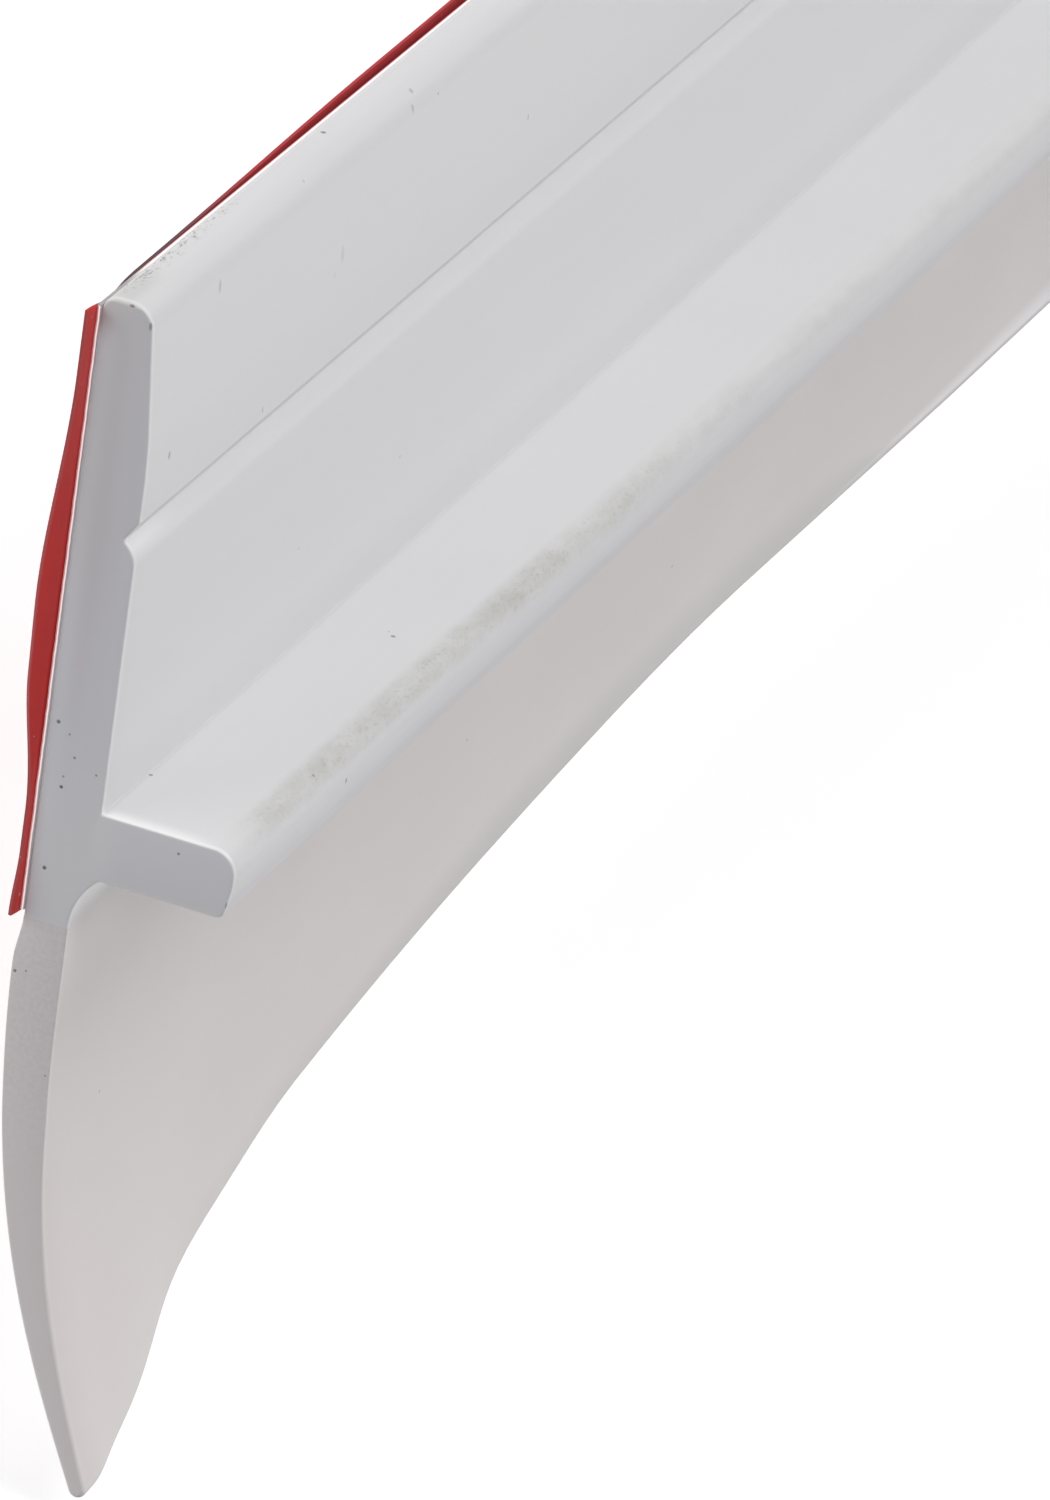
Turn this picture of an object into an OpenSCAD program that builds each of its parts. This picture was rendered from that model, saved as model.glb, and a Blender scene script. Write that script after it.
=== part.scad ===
// Self-adhesive door sweep: a rigid carrier strip with a drip shelf, a soft sealing blade
// joined along its lower edge, and a double-sided tape on its back under a release liner.
//
// The strip runs along X, its front faces -Y and the door is on the +Y side.
// The origin is the middle of the adhesive face that bonds to the door.
// Outlines are drawn as [forward from the carrier's back, height above the blade joint].

/* [Strip] */
// Length of the strip from cut end to cut end
strip_len = 914; // [300:1:1500]

/* [Carrier] */
// Height of the flange above the joint with the blade
flange_h = 20.4; // [17:0.1:30]
// Thickness of the flange above the shelf
flange_t = 2.05; // [1.8:0.05:3.5]
// How much thinner the flange is at its rounded top
top_thinning = 0.37; // [0:0.01:0.6]
// Length of the stretch over which it thins
taper_len = 4; // [2:0.1:5]
// Radius of the front corner of the flange's top
top_front_r = 0.8; // [0.4:0.05:1]
// Radius of the back corner of the flange's top
top_back_r = 0.2; // [0.1:0.05:0.3]
// Height of the shelf's underside above the joint with the blade
shelf_z = 1.8; // [1:0.05:3]
// Thickness of the shelf
shelf_t = 2.2; // [1.6:0.05:4]
// How far the shelf stands out from the flange
shelf_reach = 4.35; // [2.5:0.05:10]
// Radius of the shelf's upper front corner
shelf_top_r = 0.75; // [0.3:0.05:0.9]
// Radius of the shelf's lower front corner
shelf_low_r = 0.45; // [0.2:0.05:0.6]
// Radius of the fillet between the flange and the shelf's top
inner_r = 0.2; // [0.1:0.05:0.6]
// How far the hollow fillet under the shelf widens above the joint
root_flare = 0.8; // [0.3:0.05:1.5]

/* [Groove] */
// Distance from the flange's top down to the groove's upper lip
groove_drop = 6.85; // [6:0.05:9]
// Depth of the groove
groove_depth = 0.43; // [0.2:0.01:0.8]
// Height of the groove's steep upper side
groove_upper = 0.66; // [0.4:0.02:1]
// Height of the groove's sloping lower side
groove_lower = 0.4; // [0.2:0.02:1]

/* [Blade] */
// Thickness of the blade at the joint with the carrier
blade_root_t = 1.45; // [1:0.05:2.2]
// Thickness of the blade at its rounded tip
blade_tip_t = 0.58; // [0.4:0.02:0.9]
// How far the back of the blade's root swells out behind the carrier
blade_swell = 0.18; // [0:0.02:0.3]
// Length of the root over which it swells out
swell_len = 1.5; // [0.8:0.1:3]
// Length below that over which it draws in again
swell_fade = 6; // [3:0.5:10]
// Length of the blade along its middle line
blade_len = 18.6; // [14:0.1:28]
// Length of the root that keeps its full thickness
blade_even_len = 6.7; // [1:0.1:10]
// Length of the straight stretch below the joint
blade_straight = 2; // [0:0.1:4]
// Forward turn of the blade from root to tip, in degrees
blade_curl = 23; // [5:1:40]
// Backward lean that the blade has settled into, in degrees
blade_lean = 30; // [0:1:45]
// Length of the root over which it leans
lean_len = 8; // [4:0.5:13]
// Share of the lean that sets in next to a cut end
near_share = 0.29; // [0:0.01:1]
// Distance from a cut end over which that share sets in
near_len = 24; // [8:0.5:40]
// Distance from a cut end over which the rest of the lean sets in
flare_len = 72.5; // [30:0.5:120]

/* [Tape] */
// Thickness of each adhesive layer
adhesive_t = 0.04; // [0.02:0.01:0.3]
// Thickness of the tape's middle film
film_t = 0.05; // [0.03:0.01:1]
// Clear margin from the tape up to the flange's top
tape_top_margin = 0.2; // [0.2:0.05:4]
// Clear margin from the tape down to the blade
tape_low_margin = 0.2; // [0.2:0.05:4]
// Thickness of the release liner
liner_t = 0.1; // [0.05:0.01:0.2]
// How far the liner stands past the tape at its long edges
liner_overhang = 0.1; // [0:0.05:0.15]

/* [Hidden] */
$fn = 64;

// Steps along the blade's middle line, on its round tip and over one flared end
blade_steps = 20;
tip_steps = 6;
flare_steps = 14;
// Crowding of the blade's outlines towards a cut end
flare_crowding = 1.5;
// A cut runs this far past the face that it opens
cut_over = 0.5;

tape_t = 2 * adhesive_t + film_t;
tape_w = flange_h - tape_top_margin - tape_low_margin;
origin_z = tape_low_margin + tape_w / 2;

top_t = flange_t - top_thinning;
shelf_top_z = shelf_z + shelf_t;
shelf_end = flange_t + shelf_reach;
groove_z = flange_h - groove_drop;
root_fillet_r = (root_flare ^ 2 + shelf_z ^ 2) / (2 * root_flare);
flare_end = min(max(flare_len, near_len), strip_len / 2);

// The scrap outside a round corner, with the corner's centre at the origin
module corner_scrap(r) {
    difference() {
        square(r + cut_over);
        circle(r);
    }
}

// An outline of the strip, drawn forward and up, run from cut end to cut end
module along_strip() {
    translate([-strip_len / 2, -tape_t, -origin_z])
        rotate([90, 0, 90])
            linear_extrude(strip_len)
                mirror([1, 0])
                    children();
}

module groove_outline() {
    polygon([
        [flange_t + cut_over, groove_z],
        [flange_t, groove_z],
        [flange_t - groove_depth, groove_z - groove_upper],
        [flange_t, groove_z - groove_upper - groove_lower],
        [flange_t + cut_over, groove_z - groove_upper - groove_lower]
    ]);
}

// The round hollow of the neck, which stops at the shelf's underside
module neck_hollow() {
    intersection() {
        translate([blade_root_t + root_fillet_r, 0])
            circle(root_fillet_r);
        translate([0, -root_fillet_r])
            square([blade_root_t + root_flare, root_fillet_r + shelf_z]);
    }
}

// The outline before its corners are rounded, its hollows cut and its groove made
module carrier_blank() {
    polygon([
        [0, 0],
        [0, flange_h],
        [top_t, flange_h],
        [top_t, flange_h - top_front_r],
        [flange_t, flange_h - top_front_r - taper_len],
        [flange_t, shelf_top_z + inner_r],
        [flange_t + inner_r, shelf_top_z],
        [shelf_end, shelf_top_z],
        [shelf_end, shelf_z],
        [blade_root_t + root_flare, shelf_z],
        [blade_root_t, 0]
    ]);
}

// The strip's rounded top, shelf and neck; the neck is hollowed down to the blade's thickness
module carrier_outline() {
    difference() {
        carrier_blank();
        translate([top_t - top_front_r, flange_h - top_front_r])
            corner_scrap(top_front_r);
        translate([top_back_r, flange_h - top_back_r])
            mirror([1, 0])
                corner_scrap(top_back_r);
        translate([shelf_end - shelf_top_r, shelf_top_z - shelf_top_r])
            corner_scrap(shelf_top_r);
        translate([shelf_end - shelf_low_r, shelf_z + shelf_low_r])
            mirror([0, 1])
                corner_scrap(shelf_low_r);
        translate([flange_t + inner_r, shelf_top_z + inner_r])
            circle(inner_r);
        neck_hollow();
        groove_outline();
    }
}

module rigid_carrier() {
    color([0.93, 0.93, 0.94])
        along_strip()
            carrier_outline();
}

function smooth(t) = let (u = max(0, min(1, t))) u * u * (3 - 2 * u);

// Lean of the blade at a distance from the nearest cut end
function lean_at(d) =
    let (rest = min(1, d / flare_len))
    blade_lean * (near_share * smooth(d / near_len) + (1 - near_share) * rest * (2 - rest));

// Forward slope of the blade's middle line at a distance from the joint
function slope_at(s, lean) =
    blade_curl * smooth((s - blade_straight) / (blade_len - blade_straight)) - lean * smooth(s / lean_len);

function thickness_at(s) =
    blade_root_t
    + (blade_tip_t - blade_root_t) * max(0, s - blade_even_len) / (blade_len - blade_even_len);

// How far the blade's back stands out at a distance from the joint
function swell_at(s) = blade_swell * smooth(s / swell_len) * (1 - smooth((s - swell_len) / swell_fade));

// Points of the blade's middle line for one lean, summed from the joint to the tip
function middle_line(lean) =
    let (ds = blade_len / blade_steps)
    [for (i = 0, p = [blade_root_t / 2, 0];
          i <= blade_steps;
          a = slope_at((i + 0.5) * ds, lean), p = p + ds * [sin(a), -cos(a)], i = i + 1) p];

// Outline of the blade for one lean: down its front, round the tip and up its back
function blade_outline(lean) =
    let (
        mid = middle_line(lean),
        ds = blade_len / blade_steps,
        across = [for (i = [0 : blade_steps])
            let (a = slope_at(i * ds, lean)) [cos(a), sin(a)]],
        half_t = [for (i = [0 : blade_steps]) thickness_at(i * ds) / 2],
        tip_a = slope_at(blade_len, lean)
    )
    concat(
        [for (i = [0 : blade_steps]) mid[i] + half_t[i] * across[i]],
        [for (j = [1 : tip_steps - 1])
            let (b = tip_a - 180 * j / tip_steps) mid[blade_steps] + blade_tip_t / 2 * [cos(b), sin(b)]],
        [for (i = [blade_steps : -1 : 0]) mid[i] - (half_t[i] + swell_at(i * ds)) * across[i]]
    );

// Distances of the blade's outlines from a cut end, closer together towards it
flare_stations = [for (i = [0 : flare_steps]) flare_end * pow(i / flare_steps, flare_crowding)];
blade_stations = concat(
    flare_stations,
    [for (i = [flare_steps : -1 : 0])
        if (strip_len - flare_stations[i] > flare_end) strip_len - flare_stations[i]]
);
blade_points = [
    for (x = blade_stations)
        for (p = blade_outline(lean_at(min(x, strip_len - x))))
            [x - strip_len / 2, -tape_t - p[0], p[1] - origin_z]
];
ring_n = 2 * (blade_steps + 1) + tip_steps - 1;
last_ring = (len(blade_stations) - 1) * ring_n;
half_n = floor(ring_n / 2);

// Triangles across a blade outline, each rung from its front to its back
function end_faces(start) = concat(
    [for (i = [0 : half_n - 2])
        each [
            [start + i, start + i + 1, start + ring_n - 1 - i],
            [start + i + 1, start + ring_n - 2 - i, start + ring_n - 1 - i]
        ]],
    [[start + half_n - 1, start + half_n, start + half_n + 1]]
);
function turned(faces) = [for (f = faces) [f[2], f[1], f[0]]];

blade_sides = [
    for (r = [0 : len(blade_stations) - 2])
        for (i = [0 : ring_n - 1])
            let (
                a = r * ring_n + i,
                b = r * ring_n + (i + 1) % ring_n
            )
            each [[a, b, b + ring_n], [a, b + ring_n, a + ring_n]]
];

module sealing_blade() {
    color([0.88, 0.87, 0.86])
        polyhedron(
            points = blade_points,
            faces = concat(blade_sides, turned(end_faces(0)), end_faces(last_ring)),
            convexity = 4
        );
}

// A flat layer of the tape stack: where it starts, how thick it is and how far it passes the tape
module tape_layer(from_y, thickness, overhang) {
    translate([-strip_len / 2, from_y, -tape_w / 2 - overhang])
        cube([strip_len, thickness, tape_w + 2 * overhang]);
}

module carrier_side_adhesive() {
    color([0.9, 0.9, 0.88])
        tape_layer(-tape_t, adhesive_t, 0);
}

module tape_film() {
    color([0.97, 0.97, 0.96])
        tape_layer(-adhesive_t - film_t, film_t, 0);
}

module door_side_adhesive() {
    color([0.9, 0.9, 0.88])
        tape_layer(-adhesive_t, adhesive_t, 0);
}

module release_liner() {
    color([0.7, 0.12, 0.12])
        tape_layer(0, liner_t, liner_overhang);
}

rigid_carrier();
sealing_blade();
carrier_side_adhesive();
tape_film();
door_side_adhesive();
release_liner();
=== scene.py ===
"""Self-adhesive door sweep: a rigid strip with a drip shelf, a soft sealing blade, tape and liner.

Sizes are in millimetres until a point is placed in the part's frame, which is in metres.
Outlines are drawn as (forward from the carrier's back, height above the blade joint).
"""

from __future__ import annotations

import logging
import math
from dataclasses import dataclass, field
from enum import Enum
from typing import Dict, List, Optional, Sequence, Tuple, Union

import bpy
import numpy as np
from mathutils import Matrix, Vector

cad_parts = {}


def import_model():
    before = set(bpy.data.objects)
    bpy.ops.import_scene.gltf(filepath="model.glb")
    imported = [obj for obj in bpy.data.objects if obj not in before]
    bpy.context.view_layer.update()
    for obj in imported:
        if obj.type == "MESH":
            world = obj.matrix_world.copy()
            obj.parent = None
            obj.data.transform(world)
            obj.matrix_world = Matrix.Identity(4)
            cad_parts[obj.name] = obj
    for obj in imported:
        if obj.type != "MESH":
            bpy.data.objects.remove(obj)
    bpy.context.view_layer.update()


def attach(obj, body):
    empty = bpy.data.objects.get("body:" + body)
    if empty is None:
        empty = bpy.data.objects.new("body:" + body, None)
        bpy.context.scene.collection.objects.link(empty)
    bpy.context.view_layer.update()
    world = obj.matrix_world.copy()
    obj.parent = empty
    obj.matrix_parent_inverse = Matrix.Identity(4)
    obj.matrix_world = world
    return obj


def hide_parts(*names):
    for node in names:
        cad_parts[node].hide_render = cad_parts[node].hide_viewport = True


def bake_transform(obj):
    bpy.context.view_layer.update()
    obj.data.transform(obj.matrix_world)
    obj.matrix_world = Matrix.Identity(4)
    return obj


log = logging.getLogger("door_sweep")

MM = 0.001
SAME_POINT = 1e-7
BLACK = (0.0, 0.0, 0.0)
Point = Tuple[float, float]
Triple = Tuple[float, float, float]


class Slot(Enum):
    """The record's material slots."""

    RIGID_PVC = "rigid_pvc"
    SOFT_PVC = "soft_pvc"
    ADHESIVE = "adhesive"
    TAPE_FILM = "tape_film"
    LINER_FILM = "liner_film"


class Body(Enum):
    """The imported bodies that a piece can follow."""

    CARRIER = "carrier"
    BLADE = "blade"
    LINER = "liner"


class Wire:
    """A node's output socket that can stand in a Python expression."""

    def __init__(self, graph: Graph, socket: bpy.types.NodeSocket) -> None:
        """Keeps the graph and the socket."""
        self.graph = graph
        self.socket = socket

    def output(self, name: str) -> Wire:
        """Another output of the same node."""
        return Wire(self.graph, self.socket.node.outputs[name])

    def _math(self, operation: str, *values: Value) -> Wire:
        """Adds a Math node that works on the values."""
        return self.graph.node("ShaderNodeMath", {"operation": operation}, dict(enumerate(values)))

    def __add__(self, other: Value) -> Wire:
        """self + other"""
        return self._math("ADD", self, other)

    def __radd__(self, other: Value) -> Wire:
        """other + self"""
        return self._math("ADD", other, self)

    def __sub__(self, other: Value) -> Wire:
        """self - other"""
        return self._math("SUBTRACT", self, other)

    def __rsub__(self, other: Value) -> Wire:
        """other - self"""
        return self._math("SUBTRACT", other, self)

    def __mul__(self, other: Value) -> Wire:
        """self * other"""
        return self._math("MULTIPLY", self, other)

    def __rmul__(self, other: Value) -> Wire:
        """other * self"""
        return self._math("MULTIPLY", other, self)

    def __truediv__(self, other: Value) -> Wire:
        """self / other"""
        return self._math("DIVIDE", self, other)

    def __rtruediv__(self, other: Value) -> Wire:
        """other / self"""
        return self._math("DIVIDE", other, self)

    def __pow__(self, other: Value) -> Wire:
        """self ** other"""
        return self._math("POWER", self, other)

    def __rpow__(self, other: Value) -> Wire:
        """other ** self"""
        return self._math("POWER", other, self)

    def __abs__(self) -> Wire:
        """abs(self)"""
        return self._math("ABSOLUTE", self)

    def sign(self) -> Wire:
        """-1, 0 or 1"""
        return self._math("SIGN", self)

    def most(self, other: Value) -> Wire:
        """The larger of two values."""
        return self._math("MAXIMUM", self, other)

    def ramp(self, low: float, high: float) -> Wire:
        """A smooth step from 0 at low to 1 at high; low may be the larger one."""
        return self.graph.node(
            "ShaderNodeMapRange", {"interpolation_type": "SMOOTHSTEP"}, {0: self, 1: low, 2: high}
        )

    def bell(self, middle: float, spread: float) -> Wire:
        """A bell curve of height 1 about the middle."""
        return math.e ** (0.0 - ((self - middle) / spread) ** 2.0)


Value = Union[Wire, float, int, bool, Sequence[float], bpy.types.Material]
Surface = Tuple[Wire, Wire, Wire]


class Graph:
    """A node tree that is written as calls and expressions."""

    def __init__(self, tree: bpy.types.NodeTree) -> None:
        """Keeps the tree."""
        self.tree = tree

    def node(
        self,
        kind: str,
        settings: Optional[Dict[str, object]] = None,
        inputs: Optional[Dict[Union[int, str], Value]] = None,
        out: Union[int, str] = 0,
    ) -> Wire:
        """Adds one node.

        Args:
            kind: the node's type.
            settings: its properties, set before its sockets.
            inputs: values or wires for its sockets, by place or name.
            out: the output that is returned.

        Returns:
            The chosen output.
        """
        made = self.tree.nodes.new(kind)
        for name, value in (settings or {}).items():
            setattr(made, name, value)
        for key, value in (inputs or {}).items():
            if isinstance(value, Wire):
                self.tree.links.new(value.socket, made.inputs[key])
            else:
                made.inputs[key].default_value = value
        return Wire(self, made.outputs[out] if len(made.outputs) else None)

    def parts(self, vector: Wire) -> Tuple[Wire, Wire, Wire]:
        """The x, y and z of a vector."""
        x = self.node("ShaderNodeSeparateXYZ", inputs={0: vector})
        return x, x.output("Y"), x.output("Z")

    def joined(self, x: Value, y: Value, z: Value) -> Wire:
        """A vector from its parts."""
        return self.node("ShaderNodeCombineXYZ", inputs={0: x, 1: y, 2: z})

    def scaled(self, vector: Wire, by: Triple) -> Wire:
        """A vector with each part multiplied."""
        return self.node("ShaderNodeVectorMath", {"operation": "MULTIPLY"}, {0: vector, 1: by})

    def noise(self, vector: Wire, scale: float, detail: float = 2.0, roughness: float = 0.5) -> Wire:
        """Cloudy noise around 0.5.

        Args:
            vector: where it is read.
            scale: its waves per unit of the vector.
            detail: how many finer layers it has.
            roughness: the weight of the finer layers.

        Returns:
            A value from 0 to 1.
        """
        inputs = {"Vector": vector, "Scale": scale, "Detail": detail, "Roughness": roughness}
        return self.node("ShaderNodeTexNoise", {}, inputs)


class ShaderGraph(Graph):
    """A material's node tree, read in millimetres of the part's frame."""

    def __init__(self, name: str) -> None:
        """Starts a material with an empty tree.

        Args:
            name: the material's name.
        """
        self.material = bpy.data.materials.new(name)
        self.material.use_nodes = True
        super().__init__(self.material.node_tree)
        self.tree.nodes.clear()

    def place(self) -> Wire:
        """The point on the piece, in millimetres."""
        coordinates = self.node("ShaderNodeTexCoord", out="Object")
        return self.scaled(coordinates, (1 / MM, 1 / MM, 1 / MM))

    def surface(self, at: Wire) -> Surface:
        """A point's y, its z and its distance from the nearest cut end."""
        x, y, z = self.parts(at)
        return y, z, STRIP.half - abs(x)

    def mix(self, factor: Value, low: Value, high: Value) -> Wire:
        """A colour between two colours.

        Args:
            factor: 0 for the first colour and 1 for the second.
            low: the first colour.
            high: the second colour.

        Returns:
            The mixed colour.
        """
        colours = {6: low if isinstance(low, Wire) else (*low, 1.0),
                   7: high if isinstance(high, Wire) else (*high, 1.0)}
        return self.node("ShaderNodeMix", {"data_type": "RGBA"}, {0: factor, **colours}, out=2)

    def specks(self, vector: Wire, scale: float, share: float, radius: float) -> Wire:
        """Sparse round specks.

        Args:
            vector: where they are read.
            scale: cells per unit of the vector.
            share: the share of cells that hold one.
            radius: a speck's radius as a share of a cell.

        Returns:
            1 in a speck and 0 outside.
        """
        cell = self.node("ShaderNodeTexVoronoi", {}, {"Vector": vector, "Scale": scale})
        red, green, _ = self.parts(cell.output("Color"))
        size = green * (0.6 * radius) + 0.4 * radius
        return (cell / size).ramp(1.0, 0.55) * red.ramp(1.0 - share - 0.002, 1.0 - share)

    def spot(self, vector: Wire, centre: Triple, radius: float) -> Wire:
        """One soft round mark: 1 at its centre and 0 outside its radius."""
        away = self.node(
            "ShaderNodeVectorMath", {"operation": "DISTANCE"}, {0: vector, 1: centre}, out="Value"
        )
        return away.ramp(radius, radius * 0.45)

    def bump(self, height: Wire, depth: float, under: Optional[Wire] = None) -> Wire:
        """A bumped normal.

        Args:
            height: the relief, from 0 to 1.
            depth: how deep the relief is, in millimetres.
            under: a normal that it is laid on.

        Returns:
            The normal.
        """
        inputs = {"Strength": 1.0, "Distance": depth * MM, "Height": height}
        if under is not None:
            inputs["Normal"] = under
        return self.node("ShaderNodeBump", {}, inputs)

    def finish(self, **sockets: Value) -> bpy.types.Material:
        """Ends the tree in one Principled shader.

        Args:
            sockets: its inputs, with underscores for spaces.

        Returns:
            The material.
        """
        inputs = {name.replace("_", " "): value for name, value in sockets.items()}
        shader = self.node("ShaderNodeBsdfPrincipled", {}, inputs)
        self.node("ShaderNodeOutputMaterial", {}, {"Surface": shader})
        return self.material


class ShapeGraph(Graph):
    """A geometry node tree with named inputs, which turns an object into a plain mesh."""

    def __init__(self, name: str, **inputs: Union[float, int]) -> None:
        """Starts a tree.

        Args:
            name: the tree's name.
            inputs: its named inputs and their values.
        """
        super().__init__(bpy.data.node_groups.new(name, "GeometryNodeTree"))
        face = self.tree.interface
        face.new_socket("Geometry", in_out="INPUT", socket_type="NodeSocketGeometry")
        face.new_socket("Geometry", in_out="OUTPUT", socket_type="NodeSocketGeometry")
        self.values: Dict[str, Union[float, int]] = {}
        for label, value in inputs.items():
            kind = "NodeSocketInt" if isinstance(value, int) else "NodeSocketFloat"
            made = face.new_socket(label, in_out="INPUT", socket_type=kind)
            self.values[made.identifier] = value
        self._entry = self.node("NodeGroupInput")

    def given(self, name: str) -> Wire:
        """One of the tree's inputs."""
        return self._entry.output(name)

    def moved(
        self, geometry: Wire, position: Optional[Wire] = None, offset: Optional[Wire] = None
    ) -> Wire:
        """Moves the points of geometry.

        Args:
            geometry: what is moved.
            position: where each point goes.
            offset: how far each point then goes on.

        Returns:
            The moved geometry.
        """
        inputs: Dict[Union[int, str], Value] = {"Geometry": geometry}
        if position is not None:
            inputs["Position"] = position
        if offset is not None:
            inputs["Offset"] = offset
        return self.node("GeometryNodeSetPosition", {}, inputs)

    def settle(self, result: Wire, piece: bpy.types.Object, material: bpy.types.Material) -> None:
        """Ends the tree and puts its result into the piece as a plain mesh.

        Args:
            result: the tree's last geometry.
            piece: the object that carries the tree while it is worked out.
            material: the finish that the result gets.
        """
        real = self.node("GeometryNodeRealizeInstances", {}, {"Geometry": result})
        dressed = self.node("GeometryNodeSetMaterial", {}, {"Geometry": real, "Material": material})
        self.node("NodeGroupOutput", {}, {"Geometry": dressed})
        modifier = piece.modifiers.new("shape", "NODES")
        modifier.node_group = self.tree
        for identifier, value in self.values.items():
            modifier[identifier] = value
        depsgraph = bpy.context.evaluated_depsgraph_get()
        mesh = bpy.data.meshes.new_from_object(piece.evaluated_get(depsgraph), depsgraph=depsgraph)
        piece.modifiers.clear()
        piece.data = mesh


@dataclass(frozen=True)
class Strip:
    """The sizes that all pieces share, in millimetres."""

    length: float = 914.0
    adhesive_t: float = 0.04
    film_t: float = 0.05
    tape_w: float = 20.0
    tape_drop: float = 0.15
    origin_z: float = 10.2

    @property
    def tape_t(self) -> float:
        """The thickness of the tape's three layers."""
        return 2 * self.adhesive_t + self.film_t

    @property
    def half(self) -> float:
        """Half of the strip's length."""
        return self.length / 2

    def across(self, forward: float, height: float) -> Point:
        """The y and z of a point of an outline, in millimetres."""
        return -self.tape_t - forward, height - self.origin_z


STRIP = Strip()
NEAR_CUT = -STRIP.half


def new_piece(name: str, points: Sequence[Sequence[float]], edges: Sequence[Tuple[int, int]] = (),
              faces: Sequence[Sequence[int]] = ()) -> bpy.types.Object:
    """Makes a mesh object at the origin.

    Args:
        name: the piece's name.
        points: its points, in metres.
        edges: its loose edges.
        faces: its faces.

    Returns:
        The object, linked to the scene.
    """
    mesh = bpy.data.meshes.new(name)
    mesh.from_pydata([tuple(map(float, p)) for p in points], list(edges), list(faces))
    piece = bpy.data.objects.new(name, mesh)
    bpy.context.scene.collection.objects.link(piece)
    return piece


def shade(piece: bpy.types.Object, angle: float = 40.0) -> None:
    """Shades a piece smooth, apart from edges sharper than the angle in degrees."""
    piece.data.shade_smooth()
    piece.data.set_sharp_from_angle(angle=math.radians(angle))


def fit_out(piece: bpy.types.Object, slot: Slot, *nodes: str) -> None:
    """Hides the CAD nodes that a piece stands for and logs them.

    Args:
        piece: the finished piece.
        slot: not used.
        nodes: the nodes' names.
    """
    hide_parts(*nodes)
    log.info("%s: %d points, stands for %s", piece.name, len(piece.data.vertices), ", ".join(nodes))


@dataclass(frozen=True)
class Mark:
    """One small dark mark: its middle in the part's frame, its size and how strong it is."""

    x: float
    y: float
    z: float
    radius: float
    tall: float = 1.0
    weight: float = 1.0


def marked(g: ShaderGraph, at: Wire, marks: Sequence[Mark]) -> Wire:
    """The strongest of a set of marks.

    Args:
        g: the tree.
        at: the point on the piece, in millimetres.
        marks: the marks.

    Returns:
        A mark's weight at its middle and 0 away from all marks.
    """
    found = None
    for mark in marks:
        shape = (1.0, 1.0, 1.0 / mark.tall)
        centre = (mark.x, mark.y, mark.z / mark.tall)
        spot = g.spot(g.scaled(at, shape), centre, mark.radius) * mark.weight
        found = spot if found is None else found.most(spot)
    return found


@dataclass(frozen=True)
class Patch:
    """A soft-edged patch of a surface, in millimetres of the part's frame.

    A pair of limits says where the patch starts and where it is full. A band has a middle and a spread.
    """

    weight: float = 1.0
    y: Optional[Point] = None
    z: Optional[Point] = None
    end: Optional[Point] = None
    z_other: Optional[Point] = None
    end_other: Optional[Point] = None
    y_band: Optional[Point] = None
    z_band: Optional[Point] = None

    def on(self, surface: Surface) -> Wire:
        """Lays the patch on a surface.

        Args:
            surface: y, z and the distance from the nearest cut end.

        Returns:
            The patch's weight where it is full and 0 outside it.
        """
        y, z, end = surface
        limits = ((y, self.y), (z, self.z), (end, self.end), (z, self.z_other), (end, self.end_other))
        masks = [value.ramp(*pair) for value, pair in limits if pair]
        masks += [value.bell(*band) for value, band in ((y, self.y_band), (z, self.z_band)) if band]
        mask = masks[0]
        for other in masks[1:]:
            mask = mask * other
        return mask * self.weight


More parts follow.
